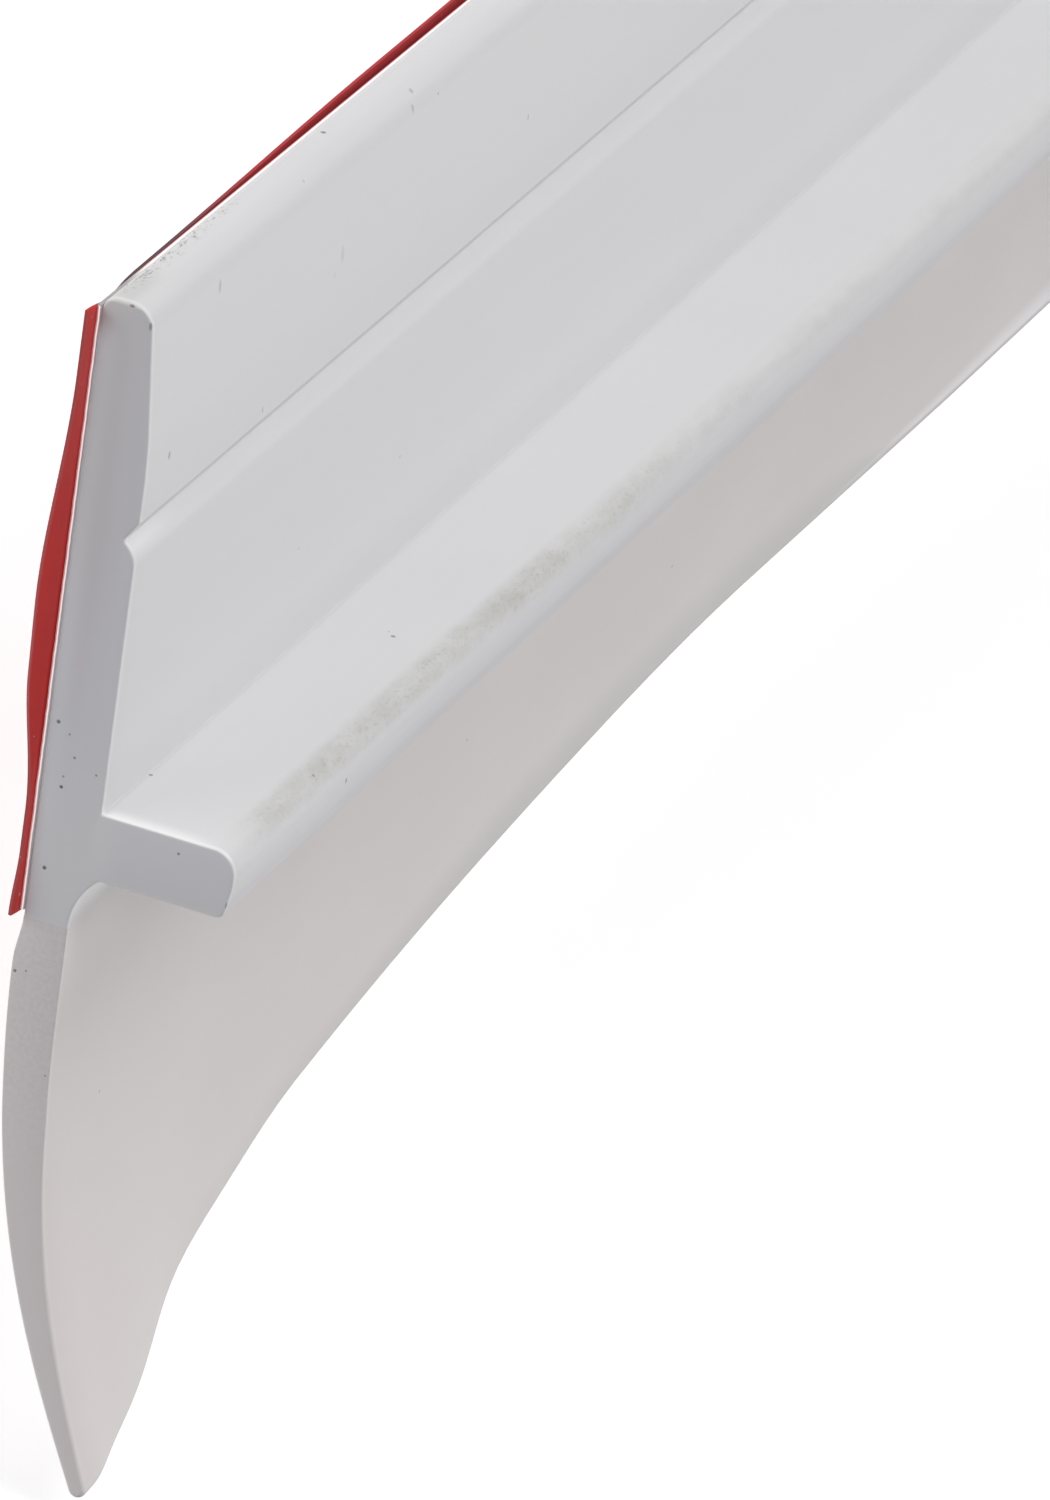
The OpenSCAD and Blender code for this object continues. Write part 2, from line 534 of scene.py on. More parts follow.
@dataclass(frozen=True)
class RigidPvc:
    """Satin white rigid PVC with die lines, handling marks and sawn ends."""

    pale: Triple = (0.80, 0.80, 0.804)
    dull: Triple = (0.765, 0.765, 0.769)
    sawn: Triple = (0.70, 0.70, 0.722)
    sawn_low: Triple = (0.74, 0.74, 0.76)
    rim: Triple = (0.86, 0.845, 0.79)
    lip_highlight: Triple = (0.93, 0.93, 0.93)
    sawn_back_light: Triple = (0.77, 0.80, 0.84)
    glare: Triple = (1.0, 1.0, 1.0)
    smear: Triple = (0.55, 0.545, 0.515)
    shade: Triple = (0.60, 0.60, 0.615)
    grime: Triple = (0.36, 0.35, 0.31)
    dirt: Triple = (0.14, 0.135, 0.13)
    roughness: float = 0.42
    ior: float = 1.53
    die_lines: Triple = (0.004, 2.4, 2.4)
    saw_marks: Triple = (1.0, 1.4, 3.0)
    cloud_waves: float = 0.11
    relief: float = 0.006
    sawn_depth: Point = (0.03, 0.006)
    sawn_back_edge: Patch = Patch(y=(-0.28, -0.22), end=(0.12, 0.09))
    lip_highlight_depth: Point = (0.24, 0.10)
    shelf: Patch = Patch(y=(-2.1, -2.5), z=(-6.6, -6.3), z_other=(-5.9, -6.1))
    shelf_shine: Patch = Patch(0.8, y=(-6.2, -4.6), end=(0.75, 0.05))
    flange_foot_shade: Patch = Patch(0.38, y=(-2.35, -2.22), z=(-3.9, -6.2))
    brow_shade: Patch = Patch(0.28, y=(-1.2, -1.4), z_band=(9.72, 0.25))
    worn_corner: Patch = Patch(0.4, y=(-1.3, -0.85), z=(9.5, 9.8), end=(3.2, 1.2))
    groove_flank_glare: Patch = Patch(0.5, y=(-2.25, -2.1), end=(4.0, 0.2), z_band=(2.47, 0.2))
    crown: Patch = Patch(3.2, z=(9.8, 10.0), end=(11.0, 4.0), end_other=(0.3, 1.2), y_band=(-0.47, 0.24))
    top_line: Patch = Patch(0.35, z_band=(9.97, 0.06))
    top_grey: Patch = Patch(0.3, z=(9.0, 9.8))
    top_rim: Patch = Patch(0.9, z=(10.02, 10.12))
    shelf_rim: Patch = Patch(0.5, y=(-2.4, -2.8), z_band=(-8.37, 0.07))
    clear_shelf: Point = (14.0, 9.0)
    smear_run: Triple = (0.9, 2.0, 2.0)
    stroke_run: Triple = (5.0, 7.5, 7.5)
    patch_run: Triple = (0.16, 0.0, 0.0)
    smear_reach: Point = (0.68, 0.08)
    smear_near: Point = (0.3, 3.5)
    smear_far: Point = (44.0, 24.0)
    fresh_far: Point = (50.0, 28.0)
    smear_rise: float = 0.1
    rise_far: Point = (30.0, 16.0)
    shelf_edge: Point = (-6.24, -6.5)
    through: Triple = (0.12, 0.175, 0.18)
    bounce: Triple = (0.155, 0.152, 0.148)
    pits: Tuple[Mark, ...] = (
        Mark(NEAR_CUT, -0.45, -3.65, 0.085), Mark(NEAR_CUT, -0.85, -3.95, 0.05, 1.0, 0.6),
        Mark(NEAR_CUT, -1.1, -4.65, 0.06, 1.0, 0.7), Mark(NEAR_CUT, -0.8, -5.7, 0.075),
        Mark(NEAR_CUT, -0.82, -5.35, 0.05, 1.0, 0.6), Mark(NEAR_CUT, -1.85, -5.0, 0.05, 1.0, 0.7),
        Mark(NEAR_CUT, -0.6, -8.45, 0.085), Mark(NEAR_CUT, -4.75, -6.7, 0.06, 1.0, 0.8),
        Mark(NEAR_CUT, -1.07, 10.1, 0.11, 0.6, 0.7), Mark(NEAR_CUT, -1.72, 9.64, 0.07, 2.6, 0.6),
        Mark(NEAR_CUT, -6.47, -7.95, 0.07, 3.0, 0.7),
    )
    ticks: Tuple[Mark, ...] = (
        Mark(-452.05, -1.84, 9.14, 0.13, 2.2, 0.28), Mark(-455.3, -2.18, 4.95, 0.10, 1.8, 0.5),
        Mark(-428.1, -2.18, 6.15, 0.12, 1.6, 0.4), Mark(-449.0, -2.0, 2.6, 0.09, 1.4, 0.55),
        Mark(-440.25, -4.45, -6.2, 0.10, 1.0, 0.7), Mark(-453.64, -2.29, -6.2, 0.09, 1.0, 0.7),
        Mark(-448.53, -6.53, -7.12, 0.10, 1.4, 0.9), Mark(-450.41, -6.2, -6.33, 0.08, 1.0, 0.6),
        Mark(-442.04, -0.69, 10.2, 0.11, 1.0, 0.75), Mark(-455.7, -0.22, 10.0, 0.10, 1.0, 0.5),
        Mark(-437.1, -1.48, 10.04, 0.12, 1.0, 0.35), Mark(-437.5, -1.76, 9.7, 0.10, 2.6, 0.35),
        Mark(-438.06, -1.93, 8.98, 0.10, 1.6, 0.3), Mark(-442.65, -2.03, 6.8, 0.16, 2.4, 0.16),
        Mark(-443.2, -2.03, 6.3, 0.12, 2.0, 0.14),
    )

    def handled(self, g: ShaderGraph, at: Wire) -> Tuple[Wire, Wire]:
        """Where hands and packing have left grey smears, along the shelf's edge and on the top.

        Args:
            g: the tree.
            at: the point on the piece, in millimetres.

        Returns:
            A soft smear and the fine dark strokes in it.
        """
        y, z, end = surface = g.surface(at)
        higher = end.ramp(*self.rise_far) * self.smear_rise
        forward, up = y - self.shelf_edge[0] - higher, z - self.shelf_edge[1] - higher
        edge = ((forward ** 2.0 + up ** 2.0) ** 0.5).ramp(*self.smear_reach) * end.ramp(*self.smear_near)
        patch = g.noise(g.scaled(at, self.patch_run), 1.0, 2.0).ramp(0.40, 0.60)
        edge = edge * (patch * 0.35 + 0.75) * (end.ramp(*self.smear_far) * 0.5 + 0.4)
        strokes = g.noise(g.scaled(at, self.stroke_run), 1.0, 4.0, 0.7).ramp(0.50, 0.72)
        cloud = g.noise(g.scaled(at, self.smear_run), 1.0, 3.0).ramp(0.3, 0.7)
        fresh = edge * end.ramp(*self.fresh_far) * 0.75
        return edge * (cloud * 0.45 + 0.55), fresh.most(self.crown.on(surface)) * strokes

    def sawn_face(self, g: ShaderGraph, surface: Surface, saw: Wire) -> Wire:
        """Colours a sawn end, which is paler below, painted lighter and cooler along its back as painted
        light, and rimmed above.

        Args:
            g: the tree.
            surface: y, z and the distance from the nearest cut end.
            saw: the marks that the saw has left.

        Returns:
            The colour.
        """
        y, z, _ = surface
        deep = z.ramp(4.0, -9.0) * 0.9 - y.ramp(-2.0, -3.2) * 0.9 + (saw - 0.5) * 0.6
        cut = g.mix(deep, self.sawn, self.sawn_low)
        # Painted light: the back of the sawn end is painted lighter and cooler.
        cut = g.mix(z.bell(0.0, 5.5) * (y.ramp(-2.2, -0.5) * 0.5 + 0.3), cut, self.sawn_back_light)
        cut = g.mix(self.top_line.on(surface).most(self.top_grey.on(surface)), cut, self.smear)
        cut = g.mix(self.top_rim.on(surface), cut, self.rim)
        return g.mix(self.shelf_rim.on(surface), cut, self.rim)

    def lit(self, g: ShaderGraph, surface: Surface, sawn: Wire) -> Wire:
        """The light that comes through a sawn end's back and off the floor into the hollow neck.

        Args:
            g: the tree.
            surface: y, z and the distance from the nearest cut end.
            sawn: 1 on a sawn end and 0 elsewhere.

        Returns:
            The light's colour.
        """
        y, z, end = surface
        light = sawn * z.ramp(-13.0, 2.0) * z.ramp(10.0, 8.4) * y.ramp(-1.2, -0.1) ** 1.7
        hollow = z.ramp(-8.2, -8.5) * (z.ramp(-10.2, -9.2) * 0.38 + 0.62)
        hollow = hollow * end.ramp(7.0, 1.0) * (1.0 - sawn)
        return g.mix(hollow, g.mix(light, BLACK, self.through), self.bounce)

    def make(self) -> bpy.types.Material:
        """Builds the material.

        Returns:
            The material.
        """
        g = ShaderGraph("satin_rigid_pvc")
        at = g.place()
        y, z, end = surface = g.surface(at)
        sawn = end.ramp(*self.sawn_depth).most(self.sawn_back_edge.on(surface))
        # A painted highlight along the edges next to a sawn end, stronger on the shelf.
        lip_highlight = end.ramp(*self.lip_highlight_depth) * (1.0 - sawn)
        shelf = self.shelf.on(surface)

        die = g.noise(g.scaled(at, self.die_lines), 1.0, 3.0, 0.6)
        cloud = g.noise(at, self.cloud_waves, 3.0)
        tone = (die - 0.5) * 0.5 + (cloud - 0.5) * 0.9 + 0.5
        base = g.mix(tone, self.dull, self.pale)
        smear, strokes = self.handled(g, at)
        # Painted shade: the shelf's front face, darker lower down and away from the cut end, the flange
        # just above the shelf and the lower part of the bullnose.
        front = y.ramp(-6.1, -6.5) * (z.ramp(-7.5, -8.0) * 0.35 + 0.36)
        front = front * (end.ramp(3.0, 14.0) * 0.35 + 0.65)
        shaded = front.most(self.flange_foot_shade.on(surface)).most(self.brow_shade.on(surface))
        base = g.mix(shaded, base, self.shade)
        base = g.mix(smear.most(self.worn_corner.on(surface)), base, self.smear)
        base = g.mix(strokes * 0.7, base, self.grime)
        # A painted highlight on the groove's lower flank near the cut end.
        base = g.mix(self.groove_flank_glare.on(surface), base, self.glare)
        base = g.mix(lip_highlight * (shelf * 0.5 + 0.45), base, self.lip_highlight)
        base = g.mix(self.shelf_shine.on(surface) * shelf * (1.0 - sawn), base, self.glare)

        saw = g.noise(g.scaled(at, self.saw_marks), 1.0, 4.0, 0.65)
        base = g.mix(sawn, base, self.sawn_face(g, surface, saw))
        dust = g.specks(at, 0.9, 0.03, 0.1) * (1.0 - shelf * end.ramp(*self.clear_shelf))
        fine = g.specks(g.scaled(at, (1.0, 1.0, 0.4)), 0.75, 0.03, 0.07) * (1.0 - sawn)
        marks = (marked(g, at, self.pits) * end.ramp(0.2, 0.06)).most(marked(g, at, self.ticks))
        base = g.mix(marks.most(dust * 0.7).most(fine * 0.4), base, self.dirt)

        rough = (cloud - 0.5) * 0.12 + smear * 0.15 + sawn * 0.22 + self.roughness
        normal = g.bump(die * 0.5 + g.noise(at, 2.2, 3.0) * 0.5, self.relief)
        normal = g.bump(saw * sawn, self.relief, normal)
        return g.finish(Base_Color=base, Roughness=rough, Normal=normal, IOR=self.ior,
                        Emission_Color=self.lit(g, surface, sawn), Emission_Strength=1.0)


@dataclass(frozen=True)
class SoftPvc:
    """Soft PVC, a warmer grey-white than the carrier, with a cut end."""

    pale: Triple = (0.755, 0.715, 0.697)
    dull: Triple = (0.716, 0.674, 0.655)
    cut: Triple = (0.745, 0.705, 0.70)
    cut_dull: Triple = (0.66, 0.63, 0.64)
    lip_highlight: Triple = (0.84, 0.82, 0.815)
    tip_highlight: Triple = (0.84, 0.83, 0.87)
    edge: Triple = (0.52, 0.50, 0.50)
    bounce: Triple = (0.095, 0.093, 0.09)
    dirt: Triple = (0.14, 0.13, 0.12)
    roughness: float = 0.40
    ior: float = 1.53
    flow_lines: Triple = (0.006, 1.6, 1.6)
    cloud_waves: float = 0.16
    sag_relief: float = 0.02
    fine_relief: float = 0.004
    cut_depth: Point = (0.03, 0.006)
    lip_highlight_depth: Point = (0.22, 0.08)
    neck: Patch = Patch(z=(-13.6, -10.2), end=(9.0, 1.0))
    mottled: Point = (-22.0, -13.0)
    thin_glow: float = 0.05
    pits: Tuple[Mark, ...] = (
        Mark(NEAR_CUT, -0.09, -12.05, 0.07, 1.0, 0.85), Mark(NEAR_CUT, -0.44, -11.95, 0.05, 1.0, 0.6),
        Mark(NEAR_CUT, -1.48, -15.15, 0.05, 1.0, 0.5), Mark(NEAR_CUT, -2.13, -18.45, 0.06, 1.0, 0.8),
    )

    def make(self) -> bpy.types.Material:
        """Builds the material.

        Returns:
            The material.
        """
        g = ShaderGraph("satin_soft_pvc")
        at = g.place()
        _, z, end = surface = g.surface(at)
        cut = end.ramp(*self.cut_depth)
        # A painted highlight along the edges next to the cut end.
        lip_highlight = end.ramp(*self.lip_highlight_depth) * (1.0 - cut)
        to_tip = g.node("ShaderNodeAttribute", {"attribute_name": "to_tip"}, out="Fac")
        # A painted highlight along the tip's edge, wider far from the cut ends, which also glows.
        wide = end.ramp(70.0, 108.0) * 1.75 + 0.02
        tip_highlight = (to_tip / wide).ramp(1.0, 0.2) * to_tip.ramp(0.02, 0.25)
        # Painted shade along the tip's edge, on the front and round the tip, away from the cut ends.
        turned = end.ramp(88.0, 76.0) * (end.ramp(32.0, 52.0) * 1.2 + 1.05) + 0.25
        under = (to_tip / turned).ramp(1.0, 0.0) * end.ramp(5.0, 55.0) * to_tip.ramp(-1.6, -1.0)

        flow = g.noise(g.scaled(at, self.flow_lines), 1.0, 2.0)
        cloud = g.noise(at, self.cloud_waves, 3.0)
        tone = (flow - 0.5) * 0.35 + (cloud - 0.5) * 0.9 + 0.5
        base = g.mix(tone, self.dull, self.pale)
        mottle = g.noise(at, 6.0, 4.0, 0.7).ramp(0.62, 0.36) * z.ramp(*self.mottled)
        base = g.mix(cut, base, g.mix(mottle * 0.55, self.cut, self.cut_dull))
        base = g.mix(lip_highlight * 0.45, base, self.lip_highlight)
        base = g.mix(tip_highlight * 0.7, base, self.tip_highlight)
        base = g.mix(under * 0.58, base, self.edge)
        dust = g.specks(at, 0.8, 0.025, 0.085) * 0.8
        base = g.mix(dust.most(marked(g, at, self.pits)), base, self.dirt)

        rough = (cloud - 0.5) * 0.14 + cut * 0.2 + self.roughness
        normal = g.bump(g.noise(at, 0.45, 3.0) * 0.7 + flow * 0.3, self.sag_relief)
        normal = g.bump(g.noise(at, 5.0, 2.0), self.fine_relief, normal)
        glow = g.mix(tip_highlight, BLACK, (self.thin_glow,) * 3)
        neck = self.neck.on(surface) * to_tip.ramp(0.0, 1.0) * (1.0 - cut)
        glow = g.mix(neck, glow, self.bounce)
        return g.finish(Base_Color=base, Roughness=rough, Normal=normal, IOR=self.ior,
                        Emission_Color=glow, Emission_Strength=1.0)


@dataclass(frozen=True)
class TapeFilm:
    """Thin white film or clear-white adhesive; light that it takes in comes out at its cut ends."""

    name: str
    end: Triple
    end_glow: float
    pale: Triple = (0.90, 0.895, 0.87)
    dull: Triple = (0.82, 0.81, 0.78)
    crest_shade: Triple = (0.50, 0.49, 0.48)
    roughness: float = 0.3
    ior: float = 1.47
    fibre_run: Triple = (0.5, 4.0, 4.0)
    cloud_waves: float = 0.25
    relief: float = 0.01
    crest_h: float = 0.05
    crest_shade_end: Point = (4.0, 1.8)
    lit_end: Point = (0.5, 0.2)

    def make(self) -> bpy.types.Material:
        """Builds the material.

        Returns:
            The material.
        """
        g = ShaderGraph(self.name)
        at = g.place()
        fibres = g.noise(g.scaled(at, self.fibre_run), 1.0, 3.0)
        cloud = g.noise(at, self.cloud_waves, 3.0)
        base = g.mix(fibres * 0.5 + cloud * 0.5, self.dull, self.pale)
        rough = (cloud - 0.5) * 0.2 + self.roughness
        _, z, end = g.surface(at)
        top = STRIP.tape_w / 2 - STRIP.tape_drop
        # Painted light: the cut ends, and the top edge away from them, are painted bright and glow.
        # Painted shade: near the cut ends the top edge is painted dark.
        crest, near = z.ramp(top - self.crest_h, top), end.ramp(*self.crest_shade_end)
        lit = (end.ramp(*self.lit_end) * (1.0 - crest)).most(crest * (1.0 - near))
        base = g.mix(lit, base, self.end)
        base = g.mix(crest * near, base, self.crest_shade)
        glow = g.mix(lit * (fibres * 0.3 + 0.7), BLACK, [self.end_glow * c for c in self.end])
        return g.finish(Base_Color=base, Roughness=rough, Normal=g.bump(fibres, self.relief),
                        IOR=self.ior, Emission_Color=glow, Emission_Strength=1.0)


@dataclass(frozen=True)
class LinerFilm:
    """Red release film with a light gloss, faint streaks and dust."""

    bright: Triple = (0.64, 0.038, 0.035)
    deep: Triple = (0.56, 0.030, 0.028)
    top_shade: Triple = (0.48, 0.052, 0.058)
    edge: Triple = (0.45, 0.08, 0.08)
    # gap: the colour of a painted shadow at the top near the cut ends.
    gap: Triple = (0.13, 0.075, 0.085)
    dust: Triple = (0.80, 0.52, 0.50)
    roughness: float = 0.38
    ior: float = 1.5
    specular: float = 0.2
    streaks: Triple = (0.02, 1.2, 1.2)
    cloud_waves: float = 0.3
    relief: float = 0.03
    top_shade_band: Patch = Patch(z=(8.8, 9.6), end=(0.0, 3.0))
    top_shadow: Patch = Patch(z=(9.5, 9.75), end=(13.0, 4.0), end_other=(-0.1, 0.3))
    outer_edge: Point = (0.94, 0.995)
    flecks: Tuple[Mark, ...] = (
        Mark(-457.3, 0.1, 9.55, 0.10), Mark(-457.4, 0.1, 7.41, 0.09), Mark(-457.3, 0.1, 6.97, 0.07),
        Mark(-457.08, 0.1, -9.5, 0.10), Mark(-457.25, 0.1, -8.2, 0.06, 1.0, 0.5),
    )

    def make(self) -> bpy.types.Material:
        """Builds the material.

        Returns:
            The material.
        """
        g = ShaderGraph("red_release_film")
        at = g.place()
        streak = g.noise(g.scaled(at, self.streaks), 1.0, 3.0)
        cloud = g.noise(at, self.cloud_waves, 3.0)
        base = g.mix(streak * 0.5 + cloud * 0.5, self.deep, self.bright)
        surface = g.surface(at)
        # Painted shade: the film's top band, away from the cut ends, is painted a duller red.
        base = g.mix(self.top_shade_band.on(surface), base, self.top_shade)
        # Painted shadow: the top edge near the cut ends is painted dark.
        base = g.mix(self.top_shadow.on(surface), base, self.gap)
        past = g.node("ShaderNodeAttribute", {"attribute_name": "past"}, out="Fac")
        base = g.mix(past.ramp(*self.outer_edge), base, self.edge)
        specks = g.specks(at, 1.1, 0.05, 0.1).most(marked(g, at, self.flecks))
        base = g.mix(specks * 0.6, base, self.dust)
        rough = (cloud - 0.5) * 0.2 + specks * 0.3 + self.roughness
        normal = g.bump(streak * 0.6 + cloud * 0.4, self.relief)
        return g.finish(Base_Color=base, Roughness=rough, Normal=normal, IOR=self.ior,
                        Specular_IOR_Level=self.specular)


def rounded(corners: Sequence[Tuple[float, float, float]], step: float = 6.0) -> List[Point]:
    """Rounds the corners of a closed outline.

    Args:
        corners: each corner's place and its radius.
        step: the largest turn between two points of a round, in degrees.

    Returns:
        The outline's points.
    """
    points: List[Point] = []
    for i, (forward, height, radius) in enumerate(corners):
        corner = np.array((forward, height))
        if radius <= 0.0:
            points.append((forward, height))
            continue
        before = np.array(corners[i - 1][:2]) - corner
        after = np.array(corners[(i + 1) % len(corners)][:2]) - corner
        u, v = before / np.linalg.norm(before), after / np.linalg.norm(after)
        half = math.acos(max(-1.0, min(1.0, float(u @ v)))) / 2
        bisector = (u + v) / np.linalg.norm(u + v)
        centre = corner + bisector * radius / math.sin(half)
        first = corner + u * radius / math.tan(half) - centre
        turn = math.pi - 2 * half
        if first[0] * (v - u)[1] - first[1] * (v - u)[0] < 0:
            turn = -turn
        count = max(1, math.ceil(abs(math.degrees(turn)) / step))
        for k in range(count + 1):
            c, s = math.cos(turn * k / count), math.sin(turn * k / count)
            spoke = (c * first[0] - s * first[1], s * first[0] + c * first[1])
            points.append((centre[0] + spoke[0], centre[1] + spoke[1]))
    return points


def smooth(t: Union[float, np.ndarray]) -> np.ndarray:
    """A clamped smooth step."""
    u = np.clip(t, 0.0, 1.0)
    return u * u * (3 - 2 * u)


def outward_of(outline: Sequence[Point]) -> np.ndarray:
    """Finds which way is out at each point of a closed outline.

    Args:
        outline: its points, drawn clockwise.

    Returns:
        Unit normals, forward and up.
    """
    p = np.array(outline)
    along = np.roll(p, -1, 0) - p
    along /= np.linalg.norm(along, axis=1)[:, None] + 1e-12
    side = np.stack((-along[:, 1], along[:, 0]), 1)
    normal = side + np.roll(side, 1, 0)
    return normal / np.linalg.norm(normal, axis=1)[:, None]


@dataclass
class RigidCarrier:
    """The hard extrusion: flange, groove, drip shelf and hollowed neck."""

    flange_h: float = 20.4
    flange_t: float = 2.05
    top_thinning: float = 0.37
    taper_len: float = 4.0
    top_front_r: float = 0.8
    top_back_r: float = 0.4999
    shelf_z: float = 1.8
    shelf_t: float = 2.2
    shelf_reach: float = 4.40
    shelf_top_r: float = 0.75
    shelf_low_r: float = 0.3
    shelf_draft: float = 0.2
    shelf_draft_h: float = 1.1
    shelf_draft_r: float = 0.9
    inner_r: float = 0.05
    root_t: float = 1.45
    root_flare: float = 0.8
    groove_drop: float = 6.85
    groove_depth: float = 0.43
    groove_upper: float = 0.66
    groove_lower: float = 0.4
    groove_lip_r: float = 0.12
    groove_low_lip_r: float = 0.8
    blend_r: float = 12.0
    edge_r: float = 0.08
    burr: float = 0.03
    burr_waves: float = 2600.0
    hollow_steps: int = 14
    stations: int = 61
    crowding: float = 3.5
    sharp_angle: float = 32.0
    finish: RigidPvc = field(default_factory=RigidPvc)

    def outline(self) -> List[Point]:
        """The section's outline, clockwise from the foot of its back.

        Returns:
            Its points, forward and up.
        """
        crest = self.flange_t - self.top_thinning * (1 + self.top_front_r / self.taper_len)
        shelf_top = self.shelf_z + self.shelf_t
        shelf_end = self.flange_t + self.shelf_reach
        groove_z = self.flange_h - self.groove_drop
        groove_low = groove_z - self.groove_upper - self.groove_lower
        hollow_r = (self.root_flare ** 2 + self.shelf_z ** 2) / (2 * self.root_flare)
        sweep = math.asin(self.shelf_z / hollow_r)
        turns = [sweep * k / self.hollow_steps for k in range(self.hollow_steps, 0, -1)]
        hollow = [
            (self.root_t + hollow_r * (1 - math.cos(a)), hollow_r * math.sin(a), 0.0) for a in turns
        ]
        return rounded([
            (0.0, 0.0, 0.0),
            (0.0, self.flange_h, self.top_back_r),
            (crest, self.flange_h, self.top_front_r),
            (self.flange_t, self.flange_h - self.top_front_r - self.taper_len, self.blend_r),
            (self.flange_t, groove_z, self.groove_lip_r),
            (self.flange_t - self.groove_depth, groove_z - self.groove_upper, self.groove_lip_r),
            (self.flange_t, groove_low, self.groove_low_lip_r),
            (self.flange_t, shelf_top, self.inner_r),
            (shelf_end, shelf_top, self.shelf_top_r),
            (shelf_end, self.shelf_z + self.shelf_draft_h, self.shelf_draft_r),
            (shelf_end - self.shelf_draft, self.shelf_z, self.shelf_low_r),
            *hollow,
            (self.root_t, 0.0, 0.0),
        ])

    def build(self) -> bpy.types.Object:
        """Runs the outline from cut end to cut end, with its cut edges broken.

        Returns:
            The piece.
        """
        outline = self.outline()
        section = []
        for forward, height in outline:
            y, z = STRIP.across(forward, height)
            section.append((-y * MM, -z * MM, 0.0))
        count = len(section)
        piece = new_piece("carrier_extrusion", section, [(i, (i + 1) % count) for i in range(count)])
        outward = piece.data.attributes.new("outward", "FLOAT_VECTOR", "POINT")
        normals = outward_of(outline)
        # The joint with the blade stays flat, so its two corners move only sideways.
        normals[0], normals[-1] = (-1.0, 0.0), (1.0, 0.0)
        for i, (forward, up) in enumerate(normals):
            outward.data[i].vector = (0.0, -forward, up)

        g = ShapeGraph("carrier_run", Half_Length=STRIP.half * MM, Edge_Round=self.edge_r * MM,
                       Burr=self.burr * MM, Stations=self.stations)
        half, edge_r = g.given("Half_Length"), g.given("Edge_Round")
        profile = g.node("GeometryNodeMeshToCurve", {}, {"Mesh": g.given("Geometry")})
        line = g.node("GeometryNodeCurvePrimitiveLine", {}, {"End": (1.0, 0.0, 0.0)})
        line = g.node("GeometryNodeResampleCurve", {}, {"Curve": line, "Count": g.given("Stations")})
        along = g.node("GeometryNodeSplineParameter") * 2.0 - 1.0
        reach = half - half * (1.0 - abs(along)) ** self.crowding
        rail = g.moved(line, position=g.joined(along.sign() * reach, 0.0, 0.0))
        run = g.node("GeometryNodeCurveToMesh", {},
                     {"Curve": rail, "Profile Curve": profile, "Fill Caps": True})

        place = g.node("GeometryNodeInputPosition")
        from_end = half - abs(g.parts(place)[0])
        over = (edge_r - from_end).most(0.0)
        inset = edge_r - (edge_r * edge_r - over * over).most(0.0) ** 0.5
        burr = (g.noise(place, self.burr_waves) - 0.5) * g.given("Burr") * (over / edge_r)
        normal = g.node("GeometryNodeInputNamedAttribute", {"data_type": "FLOAT_VECTOR"},
                        {"Name": "outward"})
        shift = g.node("ShaderNodeVectorMath", {"operation": "SCALE"},
                       {0: normal, "Scale": burr - inset})
        g.settle(g.moved(run, offset=shift), piece, self.finish.make())
        shade(piece, self.sharp_angle)
        fit_out(piece, Slot.RIGID_PVC, "rigid_carrier")
        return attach(piece, Body.CARRIER.value)


